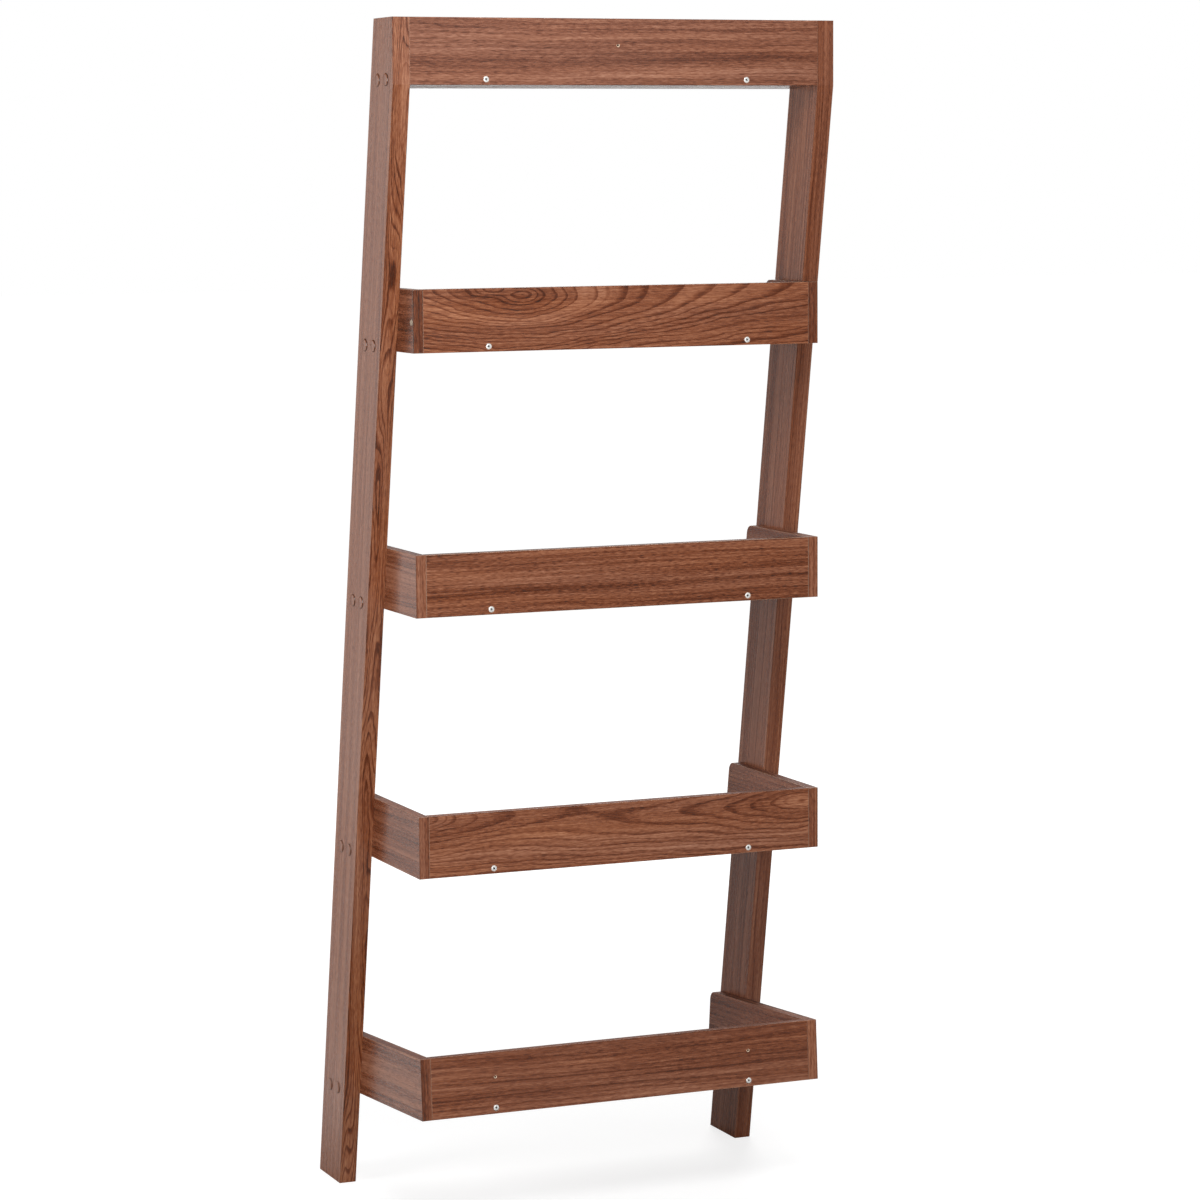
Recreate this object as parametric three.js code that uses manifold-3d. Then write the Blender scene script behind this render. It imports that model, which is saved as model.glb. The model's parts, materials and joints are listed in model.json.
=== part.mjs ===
// A leaning ladder shelf: two stiles against the wall, a top level and four trays that get deeper downwards.
// Millimetres. +X is the user's right, +Y points at the wall, +Z is up.
// The origin lies on the floor, at the middle of the outer width and of the outer depth.
import * as THREE from 'three';
import { mergeVertices } from 'three/addons/utils/BufferGeometryUtils.js';
import Module from 'manifold-3d';

const wasm = await Module();
wasm.setup();

// Overall size and lean
const HEIGHT = 1700;
const WIDTH = 670;
const LEAN = THREE.MathUtils.degToRad(10.3);

// Boards
const STILE_WIDTH = 90;
const STILE_THICKNESS = 25;
const BOARD = 15;
const TOP_BACK_HEIGHT = 92;
const TRAY_HEIGHT = 88;
const CHEEK_CORNER_RADIUS = 15;
const CORNER_STEPS = 6;

// Levels
const TRAY_COUNT = 4;
const LEVEL_SPACING = 368;
// The lowest tray sits nose down about its stile screws, as assembled. Zero sets it level.
const LOWEST_TRAY_TILT = THREE.MathUtils.degToRad(4);
// The top shelf board hangs a little at its front, as assembled. Zero sets it level.
const TOP_SHELF_TILT = THREE.MathUtils.degToRad(2.6);

// Clearances
const GAP = 0.3;
const CUT_PAST = 1;

// Long screws through stile and cheek into the shelf boards' ends, in pairs
const STILE_SCREW = { radius: 3, headRadius: 5, headHeight: 3, point: 4, bite: 30 };
const STILE_SCREW_PITCH = 34;
const HEAD_RECESS = 6;
const HEAD_RECESS_RADIUS = 5.6;

// Countersunk screws through the back boards into the shelf boards' rear edges
const BACK_SCREW = { radius: 2, headRadius: 4, headHeight: 2.4, point: 4, length: 40 };
const BACK_SCREW_X = 198;

// Dowels between the back boards' ends and the cheeks or stiles
const DOWEL = { radius: 4, inSide: 10, inBack: 20, chamfer: 1, height: 52 };

// Pilot holes for screws into the wall
const PILOT_RADIUS = 1.5;
const TOP_PILOT_HEIGHT = 55;
const TRAY_PILOT_HEIGHT = 52;

const ROUND_SIDES = 12;
const PILOT_SIDES = 8;

// Derived places. A level's underside is its height, and the wall is the plane y = WALL.
const slope = Math.tan(LEAN);
const stileRun = STILE_WIDTH / Math.cos(LEAN);
const TOP_LEVEL = HEIGHT - TOP_BACK_HEIGHT;
const DEPTH = TOP_LEVEL * slope + stileRun;
const WALL = DEPTH / 2;
const STILE_INNER = WIDTH / 2 - STILE_THICKNESS;
const CHEEK_INNER = STILE_INNER - BOARD;
const stileRear = (z) => WALL - (TOP_LEVEL - z) * slope;
const stileFront = (z) => stileRear(z) - stileRun;

const looks = {
  walnutStile: { color: 0x7d4a35, roughness: 0.5, metalness: 0 },
  walnutBoard: { color: 0x854a30, roughness: 0.48, metalness: 0 },
  walnutShelf: { color: 0x6f4534, roughness: 0.5, metalness: 0 },
  steel: { color: 0xb9b6b1, roughness: 0.35, metalness: 1 },
  beech: { color: 0xc9a06c, roughness: 0.7, metalness: 0 },
};

// A closed three.js geometry as a manifold solid.
function solid(geometry) {
  const bare = geometry.clone();
  bare.deleteAttribute('normal');
  bare.deleteAttribute('uv');
  const merged = mergeVertices(bare);
  return new wasm.Manifold(new wasm.Mesh({
    numProp: 3,
    vertProperties: new Float32Array(merged.attributes.position.array),
    triVerts: new Uint32Array(merged.index.array),
  }));
}

function geometryOf(manifold) {
  const mesh = manifold.getMesh();
  const geometry = new THREE.BufferGeometry();
  geometry.setAttribute('position', new THREE.BufferAttribute(mesh.vertProperties, mesh.numProp));
  geometry.setIndex(new THREE.BufferAttribute(mesh.triVerts, 1));
  geometry.computeVertexNormals();
  return geometry;
}

// The body with every cutter taken away.
function cut(body, cutters) {
  const left = cutters.reduce((rest, cutter) => rest.subtract(solid(cutter)), solid(body));
  return geometryOf(left);
}

// A profile of (y, z) points pushed along X, from x = from to x = to.
function slab(shape, from, to) {
  const geometry = new THREE.ExtrudeGeometry(shape, { depth: to - from, bevelEnabled: false });
  const alongX = new THREE.Matrix4().makeBasis(
    new THREE.Vector3(0, 1, 0), new THREE.Vector3(0, 0, 1), new THREE.Vector3(1, 0, 0));
  return geometry.applyMatrix4(alongX).translate(from, 0, 0);
}

function block(low, high) {
  const size = high.map((value, axis) => value - low[axis]);
  const centre = high.map((value, axis) => (value + low[axis]) / 2);
  return new THREE.BoxGeometry(...size).translate(...centre);
}

// A round bar along X between two x values, at (y, z).
function barX(radius, from, to, y, z) {
  const bar = new THREE.CylinderGeometry(radius, radius, Math.abs(to - from), ROUND_SIDES);
  return bar.rotateZ(Math.PI / 2).translate((from + to) / 2, y, z);
}

// A round bar along Y between two y values, at (x, z).
function barY(radius, from, to, x, z, sides = ROUND_SIDES) {
  const bar = new THREE.CylinderGeometry(radius, radius, Math.abs(to - from), sides);
  return bar.translate(x, (from + to) / 2, z);
}

// A turned piece about Y: the profile's points are (radius, y), and start and end on the axis.
function turned(profile) {
  const points = profile.map(([radius, y]) => new THREE.Vector2(radius, y));
  return new THREE.LatheGeometry(points, ROUND_SIDES);
}

function part(name, geometry, look) {
  const mesh = new THREE.Mesh(geometry, new THREE.MeshStandardMaterial(look));
  mesh.name = name;
  return mesh;
}

// A level's frame: its origin is the middle of its stile screws, where the stile's centre line
// crosses the shelf board's middle height.
function level(name, bottom, backHeight, inner, tilt, shelfTilt = 0) {
  const pivotZ = bottom + BOARD / 2;
  const pivotY = (stileRear(pivotZ) + stileFront(pivotZ)) / 2;
  return {
    name,
    inner,
    tilt,
    shelfTilt,
    pivot: new THREE.Vector3(0, pivotY, pivotZ),
    rear: WALL - pivotY,
    low: -BOARD / 2,
    high: backHeight - BOARD / 2,
    front: (z) => stileFront(pivotZ + z) - pivotY,
  };
}

const levels = [level('top', TOP_LEVEL, TOP_BACK_HEIGHT, STILE_INNER, 0, TOP_SHELF_TILT)];
for (let i = 1; i <= TRAY_COUNT; i += 1) {
  const tilt = i === TRAY_COUNT ? LOWEST_TRAY_TILT : 0;
  levels.push(level(`tray_${i}`, TOP_LEVEL - i * LEVEL_SPACING, TRAY_HEIGHT, CHEEK_INNER, tilt));
}

const screwOffsets = [
  ['rear', STILE_SCREW_PITCH / 2],
  ['front', -STILE_SCREW_PITCH / 2],
];
const sides = [
  ['left', -1],
  ['right', 1],
];

// The stepped holes that a level's long screws need in a stile.
function stileScrewHoles(side, at) {
  return screwOffsets.flatMap(([, offset]) => {
    const y = at.pivot.y + offset * Math.cos(at.tilt);
    const z = at.pivot.z + offset * Math.sin(at.tilt);
    const outer = side * WIDTH / 2;
    return [
      barX(STILE_SCREW.radius + GAP, side * (STILE_INNER - CUT_PAST), outer, y, z),
      barX(HEAD_RECESS_RADIUS, outer - side * HEAD_RECESS, outer + side * CUT_PAST, y, z),
    ];
  });
}

function stile(side) {
  const outline = new THREE.Shape([
    new THREE.Vector2(stileFront(0), 0),
    new THREE.Vector2(stileRear(0), 0),
    new THREE.Vector2(WALL, TOP_LEVEL),
    new THREE.Vector2(WALL, HEIGHT),
    new THREE.Vector2(stileFront(HEIGHT), HEIGHT),
  ]);
  const body = slab(outline, Math.min(side * STILE_INNER, side * WIDTH / 2),
    Math.max(side * STILE_INNER, side * WIDTH / 2));
  const dowelHole = barX(DOWEL.radius + GAP, side * (STILE_INNER - CUT_PAST),
    side * (STILE_INNER + DOWEL.inSide + GAP), WALL - BOARD / 2, TOP_LEVEL + DOWEL.height);
  return cut(body, [dowelHole, ...levels.flatMap((at) => stileScrewHoles(side, at))]);
}

// A tray's side board, plumb at the wall, with its front end cut to the stile's lean.
function cheek(side, at) {
  const frontTop = new THREE.Vector2(at.front(at.high), at.high);
  const reach = CHEEK_CORNER_RADIUS * Math.tan((Math.PI / 2 - LEAN) / 2);
  const centre = new THREE.Vector2(frontTop.x + reach, at.high - CHEEK_CORNER_RADIUS);
  const outline = new THREE.Shape();
  outline.moveTo(at.rear, at.low);
  outline.lineTo(at.rear, at.high);
  outline.absarc(centre.x, centre.y, CHEEK_CORNER_RADIUS, Math.PI / 2, Math.PI - LEAN, false);
  outline.lineTo(at.front(at.low), at.low);
  outline.closePath();
  const points = new THREE.Shape(outline.extractPoints(CORNER_STEPS).shape);
  const body = slab(points, Math.min(side * CHEEK_INNER, side * STILE_INNER),
    Math.max(side * CHEEK_INNER, side * STILE_INNER));
  const screwHoles = screwOffsets.map(([, offset]) => barX(STILE_SCREW.radius + GAP,
    side * (CHEEK_INNER - CUT_PAST), side * (STILE_INNER + CUT_PAST), offset, 0));
  const dowelHole = barX(DOWEL.radius + GAP, side * (CHEEK_INNER - CUT_PAST),
    side * (CHEEK_INNER + DOWEL.inSide + GAP), at.rear - BOARD / 2, at.low + DOWEL.height);
  return cut(body, [...screwHoles, dowelHole]);
}

// The countersunk hole for a back screw: the screw's own outline with the gap added.
function backScrewHole(at, x) {
  const { radius, headRadius, headHeight } = BACK_SCREW;
  const cone = turned([
    [0, at.rear - headHeight - GAP],
    [radius + GAP, at.rear - headHeight - GAP],
    [headRadius + GAP, at.rear],
    [headRadius + GAP, at.rear + CUT_PAST],
    [0, at.rear + CUT_PAST],
  ]).translate(x, 0, 0);
  const shank = barY(radius + GAP, at.rear - BOARD - CUT_PAST, at.rear - headHeight, x, 0);
  return [cone, shank];
}

function backBoard(at, pilots) {
  const body = block([-at.inner, at.rear - BOARD, at.low], [at.inner, at.rear, at.high]);
  const dowelHoles = sides.map(([, side]) => barX(DOWEL.radius + GAP,
    side * (at.inner - DOWEL.inBack - GAP), side * (at.inner + CUT_PAST),
    at.rear - BOARD / 2, at.low + DOWEL.height));
  const screwHoles = sides.flatMap(([, side]) => backScrewHole(at, side * BACK_SCREW_X));
  const pilotHoles = pilots.map(([x, height]) => barY(PILOT_RADIUS, at.rear - BOARD - CUT_PAST,
    at.rear + CUT_PAST, x, at.low + height, PILOT_SIDES));
  return cut(body, [...dowelHoles, ...screwHoles, ...pilotHoles]);
}

// A shelf board, turned about its lower rear edge. Its screws stay square to the level.
function shelfBoard(at) {
  const rear = at.rear - BOARD - GAP;
  const front = at.front(-at.low);
  const body = block([-at.inner, front, at.low], [at.inner, rear, -at.low])
    .translate(0, -rear, -at.low)
    .rotateX(at.shelfTilt)
    .translate(0, rear, at.low);
  const endHoles = sides.flatMap(([, side]) => screwOffsets.map(([, offset]) => barX(
    STILE_SCREW.radius + GAP, side * (at.inner - STILE_SCREW.bite - GAP),
    side * (at.inner + CUT_PAST), offset, 0)));
  const rearHoles = sides.map(([, side]) => barY(BACK_SCREW.radius + GAP,
    at.rear - BACK_SCREW.length - GAP, rear + CUT_PAST, side * BACK_SCREW_X, 0));
  return cut(body, [...endHoles, ...rearHoles]);
}

// A screw about Y with its point at -length and the top of its head at zero.
function screw({ radius, headRadius, headHeight, point }, length, countersunk) {
  const rim = countersunk ? [] : [[headRadius, -headHeight]];
  return turned([
    [0, -length],
    [radius, point - length],
    [radius, -headHeight],
    ...rim,
    [headRadius, 0],
    [0, 0],
  ]);
}

function stileScrew(side, at, offset) {
  const headSeat = WIDTH / 2 - HEAD_RECESS;
  const headTop = headSeat + STILE_SCREW.headHeight;
  const length = headTop - (at.inner - STILE_SCREW.bite);
  const geometry = screw(STILE_SCREW, length, false).rotateZ(-side * Math.PI / 2);
  return geometry.translate(side * headTop, offset, 0);
}

function backScrew(side, at) {
  return screw(BACK_SCREW, BACK_SCREW.length, true).translate(side * BACK_SCREW_X, at.rear, 0);
}

function dowel(side, at) {
  const { radius, chamfer, inSide, inBack, height } = DOWEL;
  const geometry = turned([
    [0, -inBack],
    [radius - chamfer, -inBack],
    [radius, chamfer - inBack],
    [radius, inSide - chamfer],
    [radius - chamfer, inSide],
    [0, inSide],
  ]).rotateZ(-side * Math.PI / 2);
  return geometry.translate(side * at.inner, at.rear - BOARD / 2, at.low + height);
}

// Boards and fasteners of one level, in a group that stands at the level's pivot.
function levelGroup(at, pilots) {
  const group = new THREE.Group();
  group.position.copy(at.pivot);
  group.rotation.x = at.tilt;
  group.add(part(`${at.name}_back_board`, backBoard(at, pilots), looks.walnutBoard));
  group.add(part(`${at.name}_shelf_board`, shelfBoard(at), looks.walnutShelf));
  for (const [hand, side] of sides) {
    if (at.inner === CHEEK_INNER) {
      group.add(part(`${at.name}_cheek_${hand}`, cheek(side, at), looks.walnutBoard));
    }
    for (const [place, offset] of screwOffsets) {
      const name = `${at.name}_stile_screw_${hand}_${place}`;
      group.add(part(name, stileScrew(side, at, offset), looks.steel));
    }
    group.add(part(`${at.name}_back_screw_${hand}`, backScrew(side, at), looks.steel));
    group.add(part(`${at.name}_dowel_${hand}`, dowel(side, at), looks.beech));
  }
  return group;
}

// Where screws into the wall are started: the middle of the top board, and both ends of the lowest tray.
function pilotsOf(index) {
  if (index === 0) {
    return [[0, TOP_PILOT_HEIGHT]];
  }
  return index === TRAY_COUNT ? sides.map(([, side]) => [side * BACK_SCREW_X, TRAY_PILOT_HEIGHT]) : [];
}

const group = new THREE.Group();
for (const [hand, side] of sides) {
  group.add(part(`stile_${hand}`, stile(side), looks.walnutStile));
}
levels.forEach((at, index) => group.add(levelGroup(at, pilotsOf(index))));

export default group;
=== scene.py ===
import json
import math

import bpy
from mathutils import Matrix, Vector


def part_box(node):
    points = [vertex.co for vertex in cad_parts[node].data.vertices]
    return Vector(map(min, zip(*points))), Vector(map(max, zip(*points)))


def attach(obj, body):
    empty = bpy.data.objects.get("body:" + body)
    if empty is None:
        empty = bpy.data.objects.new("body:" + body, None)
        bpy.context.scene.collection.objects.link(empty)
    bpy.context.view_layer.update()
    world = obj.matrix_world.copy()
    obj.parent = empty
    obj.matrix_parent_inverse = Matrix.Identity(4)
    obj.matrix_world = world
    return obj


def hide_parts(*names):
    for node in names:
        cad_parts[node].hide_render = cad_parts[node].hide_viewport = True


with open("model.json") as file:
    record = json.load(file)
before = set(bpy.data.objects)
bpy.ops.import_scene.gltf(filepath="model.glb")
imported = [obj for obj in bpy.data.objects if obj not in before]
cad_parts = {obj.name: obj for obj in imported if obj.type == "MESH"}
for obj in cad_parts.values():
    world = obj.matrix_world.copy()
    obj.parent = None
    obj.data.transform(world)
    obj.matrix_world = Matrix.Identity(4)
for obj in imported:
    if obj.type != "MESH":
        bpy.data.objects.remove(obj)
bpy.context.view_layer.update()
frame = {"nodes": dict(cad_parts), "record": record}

MM = 0.001
HANDS = (("left", -1), ("right", 1))
LEVELS = ("top", "tray_1", "tray_2", "tray_3", "tray_4")
TRAYS = LEVELS[1:]

# Camera: the place it looks at, its direction from there, its roll and distance, and its lens and film width
# in millimetres
AIM = Vector((-0.041, 0.0157, 0.8629))
AZIMUTH = math.radians(157.18)
ELEVATION = math.radians(6.43)
ROLL = math.radians(-0.39)
DISTANCE = 5.6386
LENS = 115.3
SENSOR = 36.0


# ---------------------------------------------------------------- frame readings

def mount(name):
    return next(m for m in frame["record"]["mounts"] if m["name"] == name)


def shelf_tilt(level):
    """How far a shelf board is turned about X, from the normal of its face."""
    axis = mount(f"{level}_shelf_face")["axis"]
    return math.atan2(-axis[1], axis[2])


def middle(node):
    low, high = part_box(node)
    return (low + high) / 2


def span(node, axis):
    low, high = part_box(node)
    return high[axis] - low[axis]


def long_screws(level):
    return [middle(f"{level}_stile_screw_right_{spot}") for spot in ("rear", "front")]


def tilt_of(level):
    """How far a level's other boards are turned about X, from its two long screws on the right."""
    rear, front = long_screws(level)
    return math.atan2(rear.z - front.z, rear.y - front.y)


def pivot(level):
    """The middle of a level's long screws on the right."""
    rear, front = long_screws(level)
    return (rear + front) / 2


def lean():
    """How far the stiles are turned about X, from two levels' screws."""
    run = pivot("top") - pivot("tray_3")
    return math.atan2(-run.y, run.z)


def back_screw_reach():
    """How far a back screw's head face is from its middle."""
    return span("top_back_screw_right", 1) / 2


# ---------------------------------------------------------------- new objects

def add_object(name, data):
    thing = bpy.data.objects.new(name, data)
    bpy.context.scene.collection.objects.link(thing)
    return thing


def place(name, mesh, where, turn, material, slot, *nodes):
    """An own piece at its place in the shared frame, instead of the given CAD nodes."""
    piece = add_object(name, mesh)
    piece.matrix_world = Matrix.Translation(where) @ turn
    piece.data.materials.clear()
    piece.data.materials.append(material)
    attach(piece, "root")
    if nodes:
        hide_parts(*nodes)


# ---------------------------------------------------------------- shader building

class Graph:
    """A material's shader nodes, added one step at a time. A value is a number or another node's output."""

    def __init__(self, name):
        self.material = bpy.data.materials.new(name)
        self.material.use_nodes = True
        self.nodes = self.material.node_tree.nodes
        self.links = self.material.node_tree.links
        self.shader = self.nodes["Principled BSDF"]

    def _feed(self, socket, value):
        if isinstance(value, bpy.types.NodeSocket):
            self.links.new(value, socket)
        else:
            socket.default_value = value

    def math(self, operation, *values):
        node = self.nodes.new("ShaderNodeMath")
        node.operation = operation
        for socket, value in zip(node.inputs, values):
            self._feed(socket, value)
        return node.outputs[0]

    def add(self, a, b):
        return self.math("ADD", a, b)

    def sub(self, a, b):
        return self.math("SUBTRACT", a, b)

    def mul(self, a, b):
        return self.math("MULTIPLY", a, b)

    def scaled(self, value, factor, offset):
        """value times factor, plus offset."""
        return self.math("MULTIPLY_ADD", value, factor, offset)

    def length(self, a, b):
        """The length of the line that has the sides a and b at right angles."""
        return self.math("SQRT", self.add(self.mul(a, a), self.mul(b, b)))

    def mix(self, factor, a, b):
        """a where factor is 0, and b where it is 1."""
        return self.scaled(factor, self.sub(b, a), a)

    def smooth(self, value, low, high):
        """A smooth step from 0 at low to 1 at high, and level beyond them. low may be above high."""
        node = self.nodes.new("ShaderNodeMapRange")
        node.interpolation_type = "SMOOTHSTEP"
        self._feed(node.inputs["Value"], value)
        node.inputs["From Min"].default_value = low
        node.inputs["From Max"].default_value = high
        return node.outputs["Result"]

    def point(self, x, y, z):
        node = self.nodes.new("ShaderNodeCombineXYZ")
        for socket, value in zip(node.inputs, (x, y, z)):
            self._feed(socket, value)
        return node.outputs[0]

    def parts(self, vector):
        node = self.nodes.new("ShaderNodeSeparateXYZ")
        self._feed(node.inputs[0], vector)
        return list(node.outputs)

    def noise(self, place, scale=1.0, detail=2.0):
        node = self.nodes.new("ShaderNodeTexNoise")
        self._feed(node.inputs["Vector"], place)
        node.inputs["Scale"].default_value = scale
        node.inputs["Detail"].default_value = detail
        return node.outputs["Fac"]

    def ramp(self, factor, stops):
        node = self.nodes.new("ShaderNodeValToRGB")
        band = node.color_ramp
        while len(band.elements) < len(stops):
            band.elements.new(0.5)
        for element, (position, colour) in zip(band.elements, stops):
            element.position = position
            element.color = (*colour, 1)
        self._feed(node.inputs[0], factor)
        return node.outputs[0]

    def times(self, colour, factors):
        """A colour with each channel multiplied by its part of factors."""
        node = self.nodes.new("ShaderNodeVectorMath")
        node.operation = "MULTIPLY"
        self._feed(node.inputs[0], colour)
        self._feed(node.inputs[1], factors)
        return node.outputs[0]

    def shaded(self, colour, share):
        """A colour with every channel multiplied by share."""
        return self.times(colour, self.point(share, share, share))

    def turned(self, vector, angle):
        """A vector turned about X."""
        node = self.nodes.new("ShaderNodeMapping")
        self._feed(node.inputs["Vector"], vector)
        node.inputs["Rotation"].default_value = (angle, 0, 0)
        return node.outputs[0]

    def own_place(self):
        return self.nodes.new("ShaderNodeTexCoord").outputs["Object"]

    def face_normal(self):
        return self.nodes.new("ShaderNodeNewGeometry").outputs["True Normal"]

    def finish(self, colour, roughness, height=None, strength=0.3, depth=0.1 * MM):
        """The material, with its colour and roughness, and a bump of the given depth from height."""
        self._feed(self.shader.inputs["Base Color"], colour)
        self._feed(self.shader.inputs["Roughness"], roughness)
        if height is not None:
            bump = self.nodes.new("ShaderNodeBump")
            bump.inputs["Strength"].default_value = strength
            bump.inputs["Distance"].default_value = depth
            self._feed(bump.inputs["Height"], height)
            self.links.new(bump.outputs[0], self.shader.inputs["Normal"])
        return self.material


# ---------------------------------------------------------------- walnut laminate

# Printed walnut, from its darkest lines to its lightest streaks
WALNUT = (
    (0.00, (0.028, 0.009, 0.005)),
    (0.30, (0.118, 0.030, 0.011)),
    (0.50, (0.222, 0.072, 0.033)),
    (0.70, (0.340, 0.137, 0.073)),
    (1.00, (0.520, 0.255, 0.155)),
)


class Sheet:
    """A board's laminate: millimetres along and across the grain on each of its faces.

    grain is the axis that the board's length follows, and face the axis that its broad faces look along.
    The board's ends are banded with a strip whose grain follows the end's longer side. on_broad is 1 on a
    broad face, and on_rim is 1 on a face that looks up or down and isn't broad."""

    # The least share of a face's normal along an axis for the face to look along it
    FACES_ALONG = 0.7
    # What the seed gains on a broad face and on an end, so that no two faces' patterns match
    BROAD_SEED, END_SEED = 4.3, 9.1

    def __init__(self, name, grain, face, angle, seed):
        self.g = g = Graph(name)
        length, broad = "XYZ".index(grain), "XYZ".index(face)
        width = 3 - length - broad
        place = g.parts(g.turned(g.own_place(), -angle))
        normal = [g.math("ABSOLUTE", n) for n in g.parts(g.turned(g.face_normal(), -angle))]
        self.on_broad = g.math("GREATER_THAN", normal[broad], self.FACES_ALONG)
        on_end = g.math("GREATER_THAN", normal[length], self.FACES_ALONG)
        self.on_rim = g.mul(g.smooth(normal[2], self.FACES_ALONG, 0.9), g.sub(1.0, self.on_broad))
        self.along = g.mul(g.mix(on_end, place[length], place[width]), 1 / MM)
        self.across = g.mul(g.mix(self.on_broad, place[broad], place[width]), 1 / MM)
        self.seed = g.scaled(self.on_broad, self.BROAD_SEED, g.scaled(on_end, self.END_SEED, seed))

    def noise(self, length, width, shift, across=None, detail=2.0):
        """Noise about zero, in patches of length by width millimetres. Each shift gives another pattern."""
        g = self.g
        across = self.across if across is None else across
        place = g.point(g.mul(self.along, 1 / length), g.mul(across, 1 / width), g.add(self.seed, shift))
        return g.sub(g.noise(place, detail=detail), 0.5)


def straight(sheet):
    """Grain lines that run with the board and wander a little."""
    g = sheet.g
    drift = g.mul(sheet.noise(420, 70, 1.0), 22)
    waver = g.mul(sheet.noise(70, 16, 2.0), 4)
    return g.add(sheet.across, g.add(drift, waver))


def curls(sheet):
    """Tight loops and tongues of grain, all down the board."""
    g = sheet.g
    loops = g.mul(sheet.noise(250, 24, 3.0, detail=0.0), 80)
    waver = g.mul(sheet.noise(60, 14, 4.0), 7)
    return g.add(sheet.across, g.add(loops, waver))


# Millimetres over which the rings of two centres join
RING_BLEND = 9.0


def eyes(*centres):
    """Rings nested about centres, each (along, across, reach towards minus, reach towards plus, height).

    Along the grain, a place at a reach counts as half of height away from the centre, and no place as more
    than height away, so the outer rings run out straight."""

    def figure(sheet):
        g = sheet.g
        bend = g.mul(sheet.noise(150, 34, 5.0), 20)
        waver = g.mul(sheet.noise(42, 12, 6.0), 6)
        warped = g.add(sheet.across, g.add(bend, waver))
        nearest = None
        for along, across, reach_down, reach_up, height in centres:
            away = g.sub(sheet.along, along)
            reach = g.mix(g.math("GREATER_THAN", away, 0.0), reach_down, reach_up)
            share = g.math("DIVIDE", g.math("ABSOLUTE", away), reach)
            rise = g.mul(g.math("DIVIDE", share, g.add(share, 1.0)), height)
            distance = g.length(rise, g.sub(warped, across))
            nearest = distance if nearest is None else g.math("SMOOTH_MIN", nearest, distance, RING_BLEND)
        return nearest

    return figure


# The print's mean place along WALNUT, how rough its coat is, and how dark the growth lines of plain grain are
MEAN_VALUE = 0.525
COAT_ROUGHNESS = 0.27
PLAIN_INK = 0.12


def growth_lines(sheet, lines, spacing, broken, ink):
    """How much darker the print is for its growth lines: each darkens slowly, then ends sharply."""
    g = sheet.g
    uneven = g.mul(sheet.noise(900, spacing * 2.7, 31.0, lines), 2.6)
    phase = g.math("FRACT", g.add(g.mul(lines, 1 / spacing), uneven))
    line = g.mul(g.smooth(phase, 0.52, 0.88), g.smooth(phase, 1.0, 0.94))
    patches = sheet.noise(300, spacing * 1.2, 44.0, lines, detail=1.0)
    return g.mul(g.mul(line, g.smooth(patches, broken - 0.16, broken + 0.02)), ink)


def laminate(name, grain, face, angle=0.0, seed=0.0, figure=straight, figured="broad", spacing=8.0,
             ink=PLAIN_INK, broken=0.0, fleck=1.0, bands=1.0, tone=0.0, rose=0.0):
    """Walnut print under a satin coat. The broad faces carry the figure and the others plain grain, or the
    other way round where figured is "edge".

    spacing is how far apart the growth lines are in millimetres, ink how dark they are and broken how patchy.
    fleck is how strong the dashes between them are, and bands how strong the broad stripes. tone lightens the
    board and rose greys it, or reddens it where negative."""
    sheet = Sheet(name, grain, face, angle, seed)
    g = sheet.g
    lines = straight(sheet)
    if figure is not straight:
        on_figured = sheet.on_broad if figured == "broad" else g.sub(1.0, sheet.on_broad)
        lines = g.mix(on_figured, lines, figure(sheet))
        ink = g.mix(on_figured, PLAIN_INK, ink)
        rose = g.mul(on_figured, rose)

    fibres = g.add(sheet.across, g.mul(sheet.noise(140, 24, 50.0), 6))
    band = sheet.noise(900, 13, 60.0, lines)
    streak = sheet.noise(230, 2.1, 75.0, fibres, 1.0)
    dash = sheet.noise(9, 1.0, 90.0, fibres, 1.0)
    pore = g.smooth(sheet.noise(9, 1.2, 105.0, fibres, 0.0), 0.07, 0.16)

    value = g.scaled(band, 0.72 * bands, MEAN_VALUE + tone)
    value = g.scaled(streak, 0.46, value)
    value = g.scaled(dash, 0.80 * fleck, value)
    value = g.scaled(pore, -0.18 * fleck, value)
    value = g.scaled(sheet.on_rim, -0.12, value)
    value = g.sub(value, growth_lines(sheet, lines, spacing, broken, ink))
    blush = g.scaled(sheet.noise(420, 36, 140.0), 1.6, rose)
    tint = g.point(1.0, g.scaled(blush, 0.16, 1.0), g.scaled(blush, 0.42, 1.0))
    colour = g.times(g.ramp(value, WALNUT), tint)

    roughness = g.scaled(band, 0.12, COAT_ROUGHNESS)
    roughness = g.scaled(pore, 0.08, roughness)
    roughness = g.scaled(sheet.on_rim, 0.45, roughness)
    height = g.scaled(dash, 0.5, g.mul(pore, -0.5))
    return g.finish(colour, roughness, height, strength=0.12)


def seam_line_and_highlight(name, upright):
    """The thin line where two sheets of laminate meet: the seam's own pale line with a painted highlight. Its
    brightness is upright on an upright edge, and 1, the full painted highlight, on any other."""
    g = Graph(name)
    grain = g.noise(g.own_place(), scale=420, detail=3)
    # Edges that face up or down get the full painted highlight
    level_edge = g.smooth(g.math("ABSOLUTE", g.parts(g.face_normal())[2]), 0.2, 0.4)
    shade = g.mul(g.mix(level_edge, upright, 1.0), g.scaled(grain, 0.6, 0.7))
    colour = g.shaded((0.36, 0.20, 0.13), shade)
    return g.finish(colour, g.scaled(grain, 0.2, 0.35), grain, strength=0.15)


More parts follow.
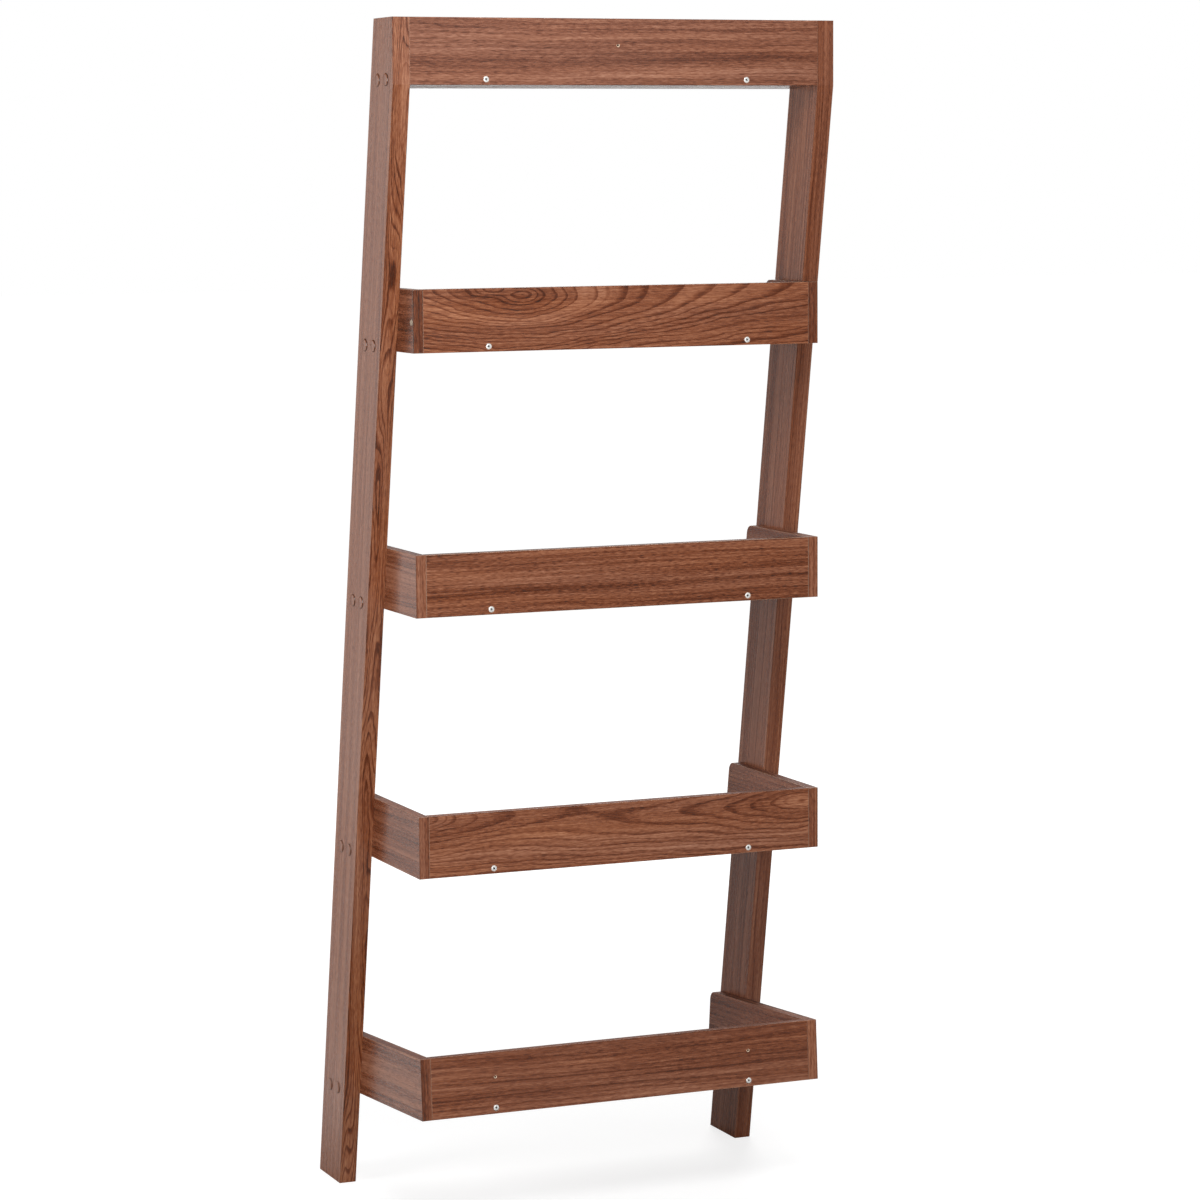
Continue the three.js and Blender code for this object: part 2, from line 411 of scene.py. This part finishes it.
def zinc(name):
    """Dull plated steel with a cloudy grain, with painted shade inside the recess of a screw's head."""
    g = Graph(name)
    x, y, z = g.parts(g.own_place())
    cloud = g.noise(g.own_place(), scale=700, detail=4)
    # Painted shade: the recess gets dark from 2.6 to 1.6 mm from the screw's axis, and from 0.1 to 0.7 mm
    # below its face
    near_axis = g.smooth(g.length(x, z), 2.6 * MM, 1.6 * MM)
    sunk = g.smooth(y, -0.1 * MM, -0.7 * MM)
    recess = g.mul(near_axis, sunk)
    shade = g.mul(g.scaled(cloud, 0.5, 0.60), g.scaled(recess, -0.93, 1.0))
    colour = g.shaded((1.0, 0.99, 0.96), shade)
    g.shader.inputs["Metallic"].default_value = 0.4
    return g.finish(colour, g.scaled(cloud, 0.25, 0.30), cloud, strength=0.1, depth=0.03 * MM)


def chipboard(name, shade=1.0):
    """Raw board: pale chips in all directions, darker with a lower shade."""
    g = Graph(name)
    chips = g.noise(g.own_place(), scale=1500, detail=3)
    colour = g.ramp(chips, ((0.3, (0.62, 0.45, 0.30)), (0.7, (0.88, 0.72, 0.56))))
    return g.finish(g.shaded(colour, shade), g.scaled(chips, 0.2, 0.7), chips, strength=0.5)


def beech(name):
    """Pale wood whose grain follows the X axis."""
    g = Graph(name)
    x, y, z = g.parts(g.own_place())
    grain = g.noise(g.point(g.mul(x, 60), g.mul(y, 900), g.mul(z, 900)), detail=3)
    colour = g.ramp(grain, ((0.3, (0.42, 0.25, 0.12)), (0.7, (0.66, 0.46, 0.27))))
    return g.finish(colour, g.scaled(grain, 0.15, 0.55), grain)


def cap_plastic(name):
    """Brown plastic, with a painted shadow round its edge."""
    g = Graph(name)
    x, y, z = g.parts(g.own_place())
    grain = g.noise(g.point(g.mul(x, 900), g.mul(y, 700), g.mul(z, 60)), detail=3)
    colour = g.ramp(grain, ((0.3, (0.215, 0.082, 0.045)), (0.7, (0.290, 0.118, 0.066))))
    # Painted shadow: the cap darkens towards its edge
    rim_shadow = g.smooth(g.length(x, z), (CAP_RADIUS - 1.1) * MM, (CAP_RADIUS - 0.3) * MM)
    colour = g.shaded(colour, g.scaled(rim_shadow, -0.8, 1.0))
    return g.finish(colour, g.scaled(grain, 0.08, 0.26), grain, strength=0.08)


# ---------------------------------------------------------------- boards

BEVEL = 0.6 * MM

# The looks of single boards, as keywords of laminate
STILE_LOOKS = {
    "left": {"fleck": 0.5},
    "right": {"figure": curls, "spacing": 5.5, "ink": 0.34, "broken": -0.1, "fleck": 0.65, "tone": 0.10,
              "rose": -0.35},
}
BACK_LOOKS = {
    # The top back board's rose greys it as a painted sheen
    "top": {"fleck": 0.72, "rose": 0.45},
    "tray_1": {"spacing": 5.2, "ink": 0.26, "broken": -0.1, "fleck": 0.62, "tone": 0.05, "rose": -0.25},
    "tray_2": {"fleck": 0.9, "tone": -0.01},
    "tray_3": {"spacing": 5.8, "ink": 0.22, "broken": -0.06, "fleck": 0.7, "tone": 0.05, "rose": -0.15},
    "tray_4": {"fleck": 0.6},
}
# Tones of the cheeks by level: tray_1's cheeks are printed darker as painted shade from the stile beside them
CHEEK_SHADE_TONES = {"tray_1": -0.14}

# The centres of a back board's rings, as eyes takes them, but each with its drop from the board's top edge
KNOTS = {
    "tray_1": ((147, 9, 300, 400, 140), (190, -2, 300, 330, 120)),
    "tray_3": ((-285, 20, 200, 230, 62), (296, 4, 90, 90, 50)),
}


def back_figure(level):
    """Rings about a back board's knots, or plain grain where it has none."""
    if level not in KNOTS:
        return straight
    top_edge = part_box(f"{level}_back_board")[1].z / MM
    return eyes(*((along, top_edge - drop, *reaches) for along, drop, *reaches in KNOTS[level]))


def soften(board):
    """Rounds a board's edges, and gives the rounding the second material."""
    weld = board.modifiers.new("weld", "WELD")
    weld.merge_threshold = 0.01 * MM
    flat = board.modifiers.new("flat", "DECIMATE")
    flat.decimate_type = "DISSOLVE"
    flat.angle_limit = math.radians(0.5)
    bevel = board.modifiers.new("edges", "BEVEL")
    bevel.width = BEVEL
    bevel.segments = 2
    bevel.limit_method = "ANGLE"
    bevel.angle_limit = math.radians(40)
    bevel.material = 1


def dress(node, wood, line):
    """Gives a CAD board its wood, and line, a seam line with a painted highlight, on its rounded edges."""
    board = frame["nodes"][node]
    board.data.materials.clear()
    board.data.materials.append(wood)
    board.data.materials.append(line)
    soften(board)


def dress_boards():
    # Seam lines with a painted highlight: pale ones, and ones that are dark on upright edges
    pale = seam_line_and_highlight("pale_seam_and_highlight", 1.0)
    dark = seam_line_and_highlight("dark_joint_and_highlight", 0.2)
    angle = lean()
    for number, (hand, _) in enumerate(HANDS):
        seed = 3.7 * number + 1.0
        wood = laminate(f"walnut_stile_{hand}", "Z", "X", angle, seed, figured="edge", bands=0.7,
                        **STILE_LOOKS[hand])
        dress(f"stile_{hand}", wood, dark)
    for number, level in enumerate(LEVELS):
        tilt = tilt_of(level)
        seed = 11.3 * number
        wood = laminate(f"walnut_{level}_back", "X", "Y", tilt, seed, back_figure(level), **BACK_LOOKS[level])
        dress(f"{level}_back_board", wood, pale)
        wood = laminate(f"walnut_{level}_shelf", "X", "Z", shelf_tilt(level), seed + 2)
        dress(f"{level}_shelf_board", wood, pale)
    for level in TRAYS:
        tilt = tilt_of(level)
        seed = 11.3 * LEVELS.index(level) + 5
        for hand, side in HANDS:
            wood = laminate(f"walnut_{level}_cheek_{hand}", "Y", "X", tilt, seed + side, fleck=0.7,
                            tone=CHEEK_SHADE_TONES.get(level, 0.0))
            dress(f"{level}_cheek_{hand}", wood, dark)


# ---------------------------------------------------------------- turned pieces

def turned_mesh(name, outline, steps, wobble=None):
    """A mesh turned about its own Y axis, with a ring of vertices for each (radius, height) of the outline.

    The outline is in millimetres and runs upwards. wobble, where given, is what to add to a radius, from the
    ring's height and the turn."""
    verts = []
    rings = []
    for radius, height in outline:
        first = len(verts)
        if radius == 0:
            rings.append([first] * steps)
            verts.append((0, height * MM, 0))
            continue
        rings.append(list(range(first, first + steps)))
        for i in range(steps):
            turn = math.tau * i / steps
            reach = (radius + (wobble(height, turn) if wobble else 0)) * MM
            verts.append((reach * math.cos(turn), height * MM, reach * math.sin(turn)))
    faces = []
    for lower, upper in zip(rings, rings[1:]):
        for i in range(steps):
            j = (i + 1) % steps
            corners = [lower[i], upper[i], upper[j], lower[j]]
            faces.append([c for k, c in enumerate(corners) if c not in corners[:k]])
    mesh = bpy.data.meshes.new(name)
    mesh.from_pydata(verts, [], faces)
    mesh.validate()
    return mesh


def smoothed(mesh, sharp):
    """The mesh, shaded smooth except over edges of more than sharp degrees."""
    mesh.shade_smooth()
    mesh.set_sharp_from_angle(angle=math.radians(sharp))
    return mesh


# A cross recess: half the width of an arm as a share of its length, the size of its floor as a share of its
# mouth, and how far above the head's face the cutter starts
CROSS_WIDTH = 0.27
CROSS_TAPER = 0.35
CUTTER_RISE = 0.3 * MM


def cut_cross(mesh, arm, depth):
    """Sinks a tapered cross recess into the top of a screw head at height 0."""
    half = arm * CROSS_WIDTH
    outline = []
    for turn in range(4):
        spin = Matrix.Rotation(turn * math.pi / 2, 2)
        outline += [spin @ Vector(p) for p in ((half, -half), (arm, -half), (arm, half))]
    top = [(p.x, CUTTER_RISE, p.y) for p in outline]
    low = [(p.x * CROSS_TAPER, -depth, p.y * CROSS_TAPER) for p in outline]
    count = len(outline)
    faces = [tuple(reversed(range(count))), tuple(range(count, 2 * count))]
    faces += [(i, (i + 1) % count, (i + 1) % count + count, i + count) for i in range(count)]
    cutter_mesh = bpy.data.meshes.new("cross")
    cutter_mesh.from_pydata(top + low, [], faces)
    cutter = add_object("cross", cutter_mesh)
    blank = add_object("blank", mesh)
    cut = blank.modifiers.new("cut", "BOOLEAN")
    cut.object = cutter
    cut.solver = "EXACT"
    done = bpy.data.meshes.new_from_object(blank.evaluated_get(bpy.context.evaluated_depsgraph_get()))
    for thing in (cutter, blank):
        bpy.data.objects.remove(thing)
    return done


# Screws in millimetres: radius is that of the thread and the shank, head that of the head, neck the head's
# height, point the point's length, and cross the reach of the recess's arms
STILE_SCREW = {"radius": 3.0, "head": 5.0, "neck": 3.0, "point": 4.0, "pitch": 2.4, "cross": 2.9}
BACK_SCREW = {"radius": 2.0, "head": 4.0, "neck": 2.4, "point": 4.0, "pitch": 1.8, "cross": 2.3}
SCREW_STEPS = 24
RINGS_PER_PITCH = 4
# The plain shank's share of the length, the core's of the radius, and a thread flank's of the pitch
SHANK = 0.22
CORE = 0.72
FLANK = 0.3


def screw_mesh(name, length, radius, head, neck, point, pitch, cross):
    """A countersunk chipboard screw: its head's face is at height 0, and its point below."""
    plain = neck + SHANK * length
    core = radius * CORE
    outline = [(0, -neck * 0.75), (cross * 0.3, -neck * 0.7), (cross * 0.5, 0.08), (head - 0.4, 0.05),
               (head, -0.2), (head, -0.55), (radius, -neck), (radius, -plain)]
    rows = int((length - point - plain) / pitch * RINGS_PER_PITCH)
    outline += [(core, -plain - (row + 1) * pitch / RINGS_PER_PITCH) for row in range(rows)]
    outline += [(core * 0.7, -length + point * 0.5), (0, -length)]

    def thread(height, turn):
        if not -length + point < height < -plain:
            return 0
        share = (height / pitch + turn / math.tau) % 1
        return max(0.0, 1 - abs(share - 0.5) / FLANK) * (radius - core)

    blank = turned_mesh(name, outline[::-1], SCREW_STEPS, thread)
    mesh = cut_cross(blank, cross * MM, neck * 0.8 * MM)
    mesh.name = name
    return smoothed(mesh, 32)


def add_screws():
    metal = zinc("zinc")
    long_one = screw_mesh("stile_screw", span("top_stile_screw_right_rear", 0) / MM, **STILE_SCREW)
    short_one = screw_mesh("back_screw", 2 * back_screw_reach() / MM, **BACK_SCREW)
    for number, level in enumerate(LEVELS):
        tilt = Matrix.Rotation(tilt_of(level), 4, "X")
        for hand, side in HANDS:
            spin = Matrix.Rotation(1.1 * number + 0.5 * side, 4, "Y")
            for spot in ("rear", "front"):
                node = f"{level}_stile_screw_{hand}_{spot}"
                outer = middle(node) + Vector((side * span(node, 0) / 2, 0, 0))
                turn = Matrix.Rotation(-side * math.pi / 2, 4, "Z") @ spin
                place(f"{node}_detail", long_one.copy(), outer, turn, metal, "zinc_screw", node)
            node = f"{level}_back_screw_{hand}"
            outer = middle(node) + tilt @ Vector((0, back_screw_reach(), 0))
            place(f"{node}_detail", short_one.copy(), outer, tilt @ spin, metal, "zinc_screw", node)


# Dowels in millimetres
DOWEL_RADIUS = 4.0
DOWEL_CHAMFER = 1.0
DOWEL_FLUTES = 14
FLUTE_DEPTH = 0.3


def dowel_mesh(length):
    """A fluted dowel with chamfered ends, its middle at height 0."""
    half = length / 2
    end_radius = DOWEL_RADIUS - DOWEL_CHAMFER
    outline = [(0, -half), (end_radius, -half), (DOWEL_RADIUS, -half + DOWEL_CHAMFER),
               (DOWEL_RADIUS, half - DOWEL_CHAMFER), (end_radius, half), (0, half)]

    def flutes(height, turn):
        return -FLUTE_DEPTH * max(0.0, math.cos(DOWEL_FLUTES * turn)) ** 0.5

    return smoothed(turned_mesh("dowel", outline, 8 * DOWEL_FLUTES, flutes), 35)


def add_dowels():
    wood = beech("beech")
    mesh = dowel_mesh(span("tray_1_dowel_right", 0) / MM)
    sideways = Matrix.Rotation(math.pi / 2, 4, "Z")
    for level in LEVELS:
        for hand, _ in HANDS:
            node = f"{level}_dowel_{hand}"
            place(f"{node}_detail", mesh.copy(), middle(node), sideways, wood, "beech_dowel", node)


# Cover caps in millimetres: a cap stands CAP_PROUD out of the stile, and its dome is the last CAP_DOME of
# that. CAP_STEM is the stem's radius and depth
CAP_RADIUS = 9.0
CAP_PROUD = 1.9
CAP_DOME = 0.2
CAP_LIP = 0.3
CAP_BEVEL = 2.2
CAP_STEM = (5.0, 2.4)


def cap_mesh():
    """A push-in cover cap: a low dome inside a bevel, and a short stem."""
    stem, deep = CAP_STEM
    crown = CAP_RADIUS - CAP_BEVEL
    shoulder = CAP_PROUD - CAP_DOME
    outline = [(0, -deep), (stem, -deep), (stem, 0.1), (CAP_RADIUS - CAP_LIP, 0.1), (CAP_RADIUS, CAP_LIP)]
    for share in (0.15, 0.5, 0.85, 1.0):
        rise = (shoulder - CAP_LIP) * math.sin(share * math.pi / 2)
        outline.append((CAP_RADIUS - CAP_BEVEL * share, CAP_LIP + rise))
    for share in (0.75, 0.5, 0.25, 0.0):
        outline.append((crown * share, shoulder + CAP_DOME * (1 - share * share)))
    return smoothed(turned_mesh("cover_cap", outline, 48), 50)


def add_caps():
    mesh = cap_mesh()
    plastic = cap_plastic("cap_plastic")
    for hand, side in HANDS:
        low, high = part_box(f"stile_{hand}")
        face = high.x if side > 0 else low.x
        turn = Matrix.Rotation(-side * math.pi / 2, 4, "Z")
        for level in LEVELS:
            for spot in ("rear", "front"):
                screw = middle(f"{level}_stile_screw_{hand}_{spot}")
                where = Vector((face, screw.y, screw.z))
                place(f"{level}_cover_cap_{hand}_{spot}", mesh.copy(), where, turn, plastic, "brown_cap")


# Pilot holes for wall screws: how far out from the middle, and how high above the level's underside. The back
# screws are BACK_SCREW_RISE above it. PILOT_RIM is how wide a hole's rim is, RIM_RISE how far it stands out
PILOTS = {"top": ((0, 55),), "tray_4": ((-198, 52), (198, 52))}
PILOT_RADIUS = 1.5
PILOT_RIM = 1.3
RIM_RISE = 0.14
BACK_SCREW_RISE = 7.5


def rim_mesh():
    """The frayed rim of a drilled hole: a low ring of bare board, wide on one side."""
    steps, sides = 28, 8
    verts = []
    for i in range(steps):
        turn = math.tau * i / steps
        width = PILOT_RIM * (0.56 + 0.36 * math.sin(turn + 3.6) + 0.07 * math.sin(7 * turn))
        for k in range(sides):
            lap = math.tau * k / sides
            reach = (PILOT_RADIUS + width * (1 + math.cos(lap)) / 2) * MM
            verts.append((reach * math.cos(turn), RIM_RISE * math.sin(lap) * MM, reach * math.sin(turn)))
    faces = []
    for i in range(steps):
        j = (i + 1) % steps
        for k in range(sides):
            m = (k + 1) % sides
            faces.append((i * sides + k, i * sides + m, j * sides + m, j * sides + k))
    mesh = bpy.data.meshes.new("pilot_rim")
    mesh.from_pydata(verts, [], faces)
    mesh.shade_smooth()
    return mesh


def add_pilot_rims():
    mesh = rim_mesh()
    raw = chipboard("chipboard")
    for level, holes in PILOTS.items():
        tilt = Matrix.Rotation(tilt_of(level), 4, "X")
        screw = middle(f"{level}_back_screw_right")
        for number, (out, high) in enumerate(holes):
            up = (high - BACK_SCREW_RISE) * MM
            where = Vector((out * MM, screw.y, screw.z)) + tilt @ Vector((0, back_screw_reach(), up))
            place(f"{level}_pilot_rim_{number + 1}", mesh.copy(), where, tilt, raw, "walnut_board")


# The bare patch on the highest tray's right cheek: its radius, and how far its middle is from the cheek's
# rear edge and from its underside
PATCH_RADIUS = 4.0
PATCH_PLACE = (6.4, 42.5)


def add_bare_patch():
    """Bare board that shows through the laminate of a cheek's outer face."""
    radius = PATCH_RADIUS
    outline = [(0, -0.6), (radius, -0.6), (radius, 0.1), (radius * 0.85, 0.22), (radius * 0.5, 0.3), (0, 0.3)]

    def ragged(height, turn):
        return 1.1 * math.cos(turn) ** 2 + 0.45 * math.sin(5 * turn + 1) + 0.25 * math.sin(9 * turn)

    mesh = smoothed(turned_mesh("bare_patch", outline, 48, ragged), 40)
    low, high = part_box("tray_1_cheek_right")
    inset, rise = PATCH_PLACE
    where = Vector((high.x, high.y - inset * MM, low.z + rise * MM))
    worn = chipboard("worn_board", 0.5)
    place("tray_1_bare_patch", mesh, where, Matrix.Rotation(-math.pi / 2, 4, "Z"), worn, "walnut_board")


# ---------------------------------------------------------------- stage

# In metres: half the floor's side, and how far out the floor starts and ends its change from NEAR_GLOW to
# FAR_GLOW. The lower glow near the shelf is painted shade
FLOOR_HALF = 40.0
FADE_START, FADE_END = 0.6, 4.0
NEAR_GLOW, FAR_GLOW = 0.78, 1.0
# How far the camera's line of sight, mirrored in a stile's side, goes to the right for each metre away from
# the wall
SIGHT_SLOPE = 0.424
WORLD_FILL = 0.08

# Softboxes: name, place, width, height and power in watts. They all aim at LIT_POINT
LIT_POINT = Vector((0, 0, 0.9))
SOFTBOXES = (
    ("top", (0.5, 2.0, 3.2), 1.2, 1.2, 54),
    ("low", (1.4, 2.8, 1.2), 1.2, 1.2, 16),
    ("face", (0.7, 3.7, 1.1), 1.2, 1.2, 27),
    ("left", (-2.6, 1.9, 0.8), 1.0, 1.0, 10),
    ("side", (2.9, 0.6, 1.5), 1.2, 1.2, 39),
    ("far", (-1.5, 4.5, 2.4), 1.2, 1.2, 10),
    ("behind", (2.3, -2.6, 1.0), 2.0, 2.0, 18),
    ("front", (-1.8, -3.2, 3.1), 1.6, 1.6, 74),
    ("backdrop", (-1.46, -3.3, 1.3), 1.5, 0.6, 6),
)


def camera_share(nodes):
    """1 for what the camera sees directly, and 0 for light on its way."""
    return nodes.new("ShaderNodeLightPath").outputs["Is Camera Ray"]


def add_floor():
    """A floor that glows for the camera, dimmer near the shelf as painted shade, and fades into the white
    background. It is paler where the stiles' sides mirror it."""
    mesh = bpy.data.meshes.new("floor")
    far = FLOOR_HALF
    mesh.from_pydata([(-far, -far, 0), (far, -far, 0), (far, far, 0), (-far, far, 0)], [], [(0, 1, 2, 3)])
    g = Graph("floor")
    x, y, _ = g.parts(g.own_place())
    beside = g.smooth(g.scaled(y, SIGHT_SLOPE, x), -0.05, 0.35)
    beyond = g.smooth(y, -0.1, -0.7)
    speck = g.noise(g.own_place(), scale=2)
    grey = g.mix(g.mul(beside, beyond), g.scaled(speck, 0.06, 0.30), 0.9)
    # Painted shade: the floor glows less near the shelf
    away = g.smooth(g.length(x, y), FADE_START, FADE_END)
    glow = g.scaled(away, FAR_GLOW - NEAR_GLOW, NEAR_GLOW)
    g.shader.inputs["Emission Color"].default_value = (1, 1, 1, 1)
    g.links.new(g.mul(glow, camera_share(g.nodes)), g.shader.inputs["Emission Strength"])
    mesh.materials.append(g.finish(g.point(grey, grey, grey), 0.8))
    add_object("floor", mesh)


def add_world():
    """White for the camera, and a faint fill as light."""
    world = bpy.data.worlds.new("studio")
    bpy.context.scene.world = world
    world.use_nodes = True
    nodes, links = world.node_tree.nodes, world.node_tree.links
    back = nodes["Background"]
    level = nodes.new("ShaderNodeMapRange")
    level.inputs["To Min"].default_value = WORLD_FILL
    level.inputs["To Max"].default_value = 1.0
    links.new(camera_share(nodes), level.inputs["Value"])
    links.new(level.outputs[0], back.inputs["Strength"])
    back.inputs["Color"].default_value = (1, 1, 1, 1)


def add_softboxes():
    """Soft lights that aren't themselves in view."""
    for name, where, width, height, power in SOFTBOXES:
        light = bpy.data.lights.new(name, "AREA")
        light.shape = "RECTANGLE"
        light.size = width
        light.size_y = height
        light.energy = power
        lamp = add_object(name, light)
        lamp.location = where
        lamp.rotation_euler = (LIT_POINT - lamp.location).to_track_quat("-Z", "Y").to_euler()
        lamp.visible_camera = False


def add_camera():
    level = math.cos(ELEVATION)
    back = Vector((math.sin(AZIMUTH) * level, -math.cos(AZIMUTH) * level, math.sin(ELEVATION)))
    data = bpy.data.cameras.new("camera")
    data.lens = LENS
    data.sensor_width = SENSOR
    camera = add_object("camera", data)
    turn = (-back).to_track_quat("-Z", "Y").to_matrix().to_4x4() @ Matrix.Rotation(ROLL, 4, "Z")
    camera.matrix_world = Matrix.Translation(AIM + back * DISTANCE) @ turn
    bpy.context.scene.camera = camera


add_camera()
add_floor()
add_world()
add_softboxes()
dress_boards()
add_screws()
add_dowels()
add_caps()
add_pilot_rims()
add_bare_patch()

bpy.context.scene.view_settings.view_transform = "Standard"
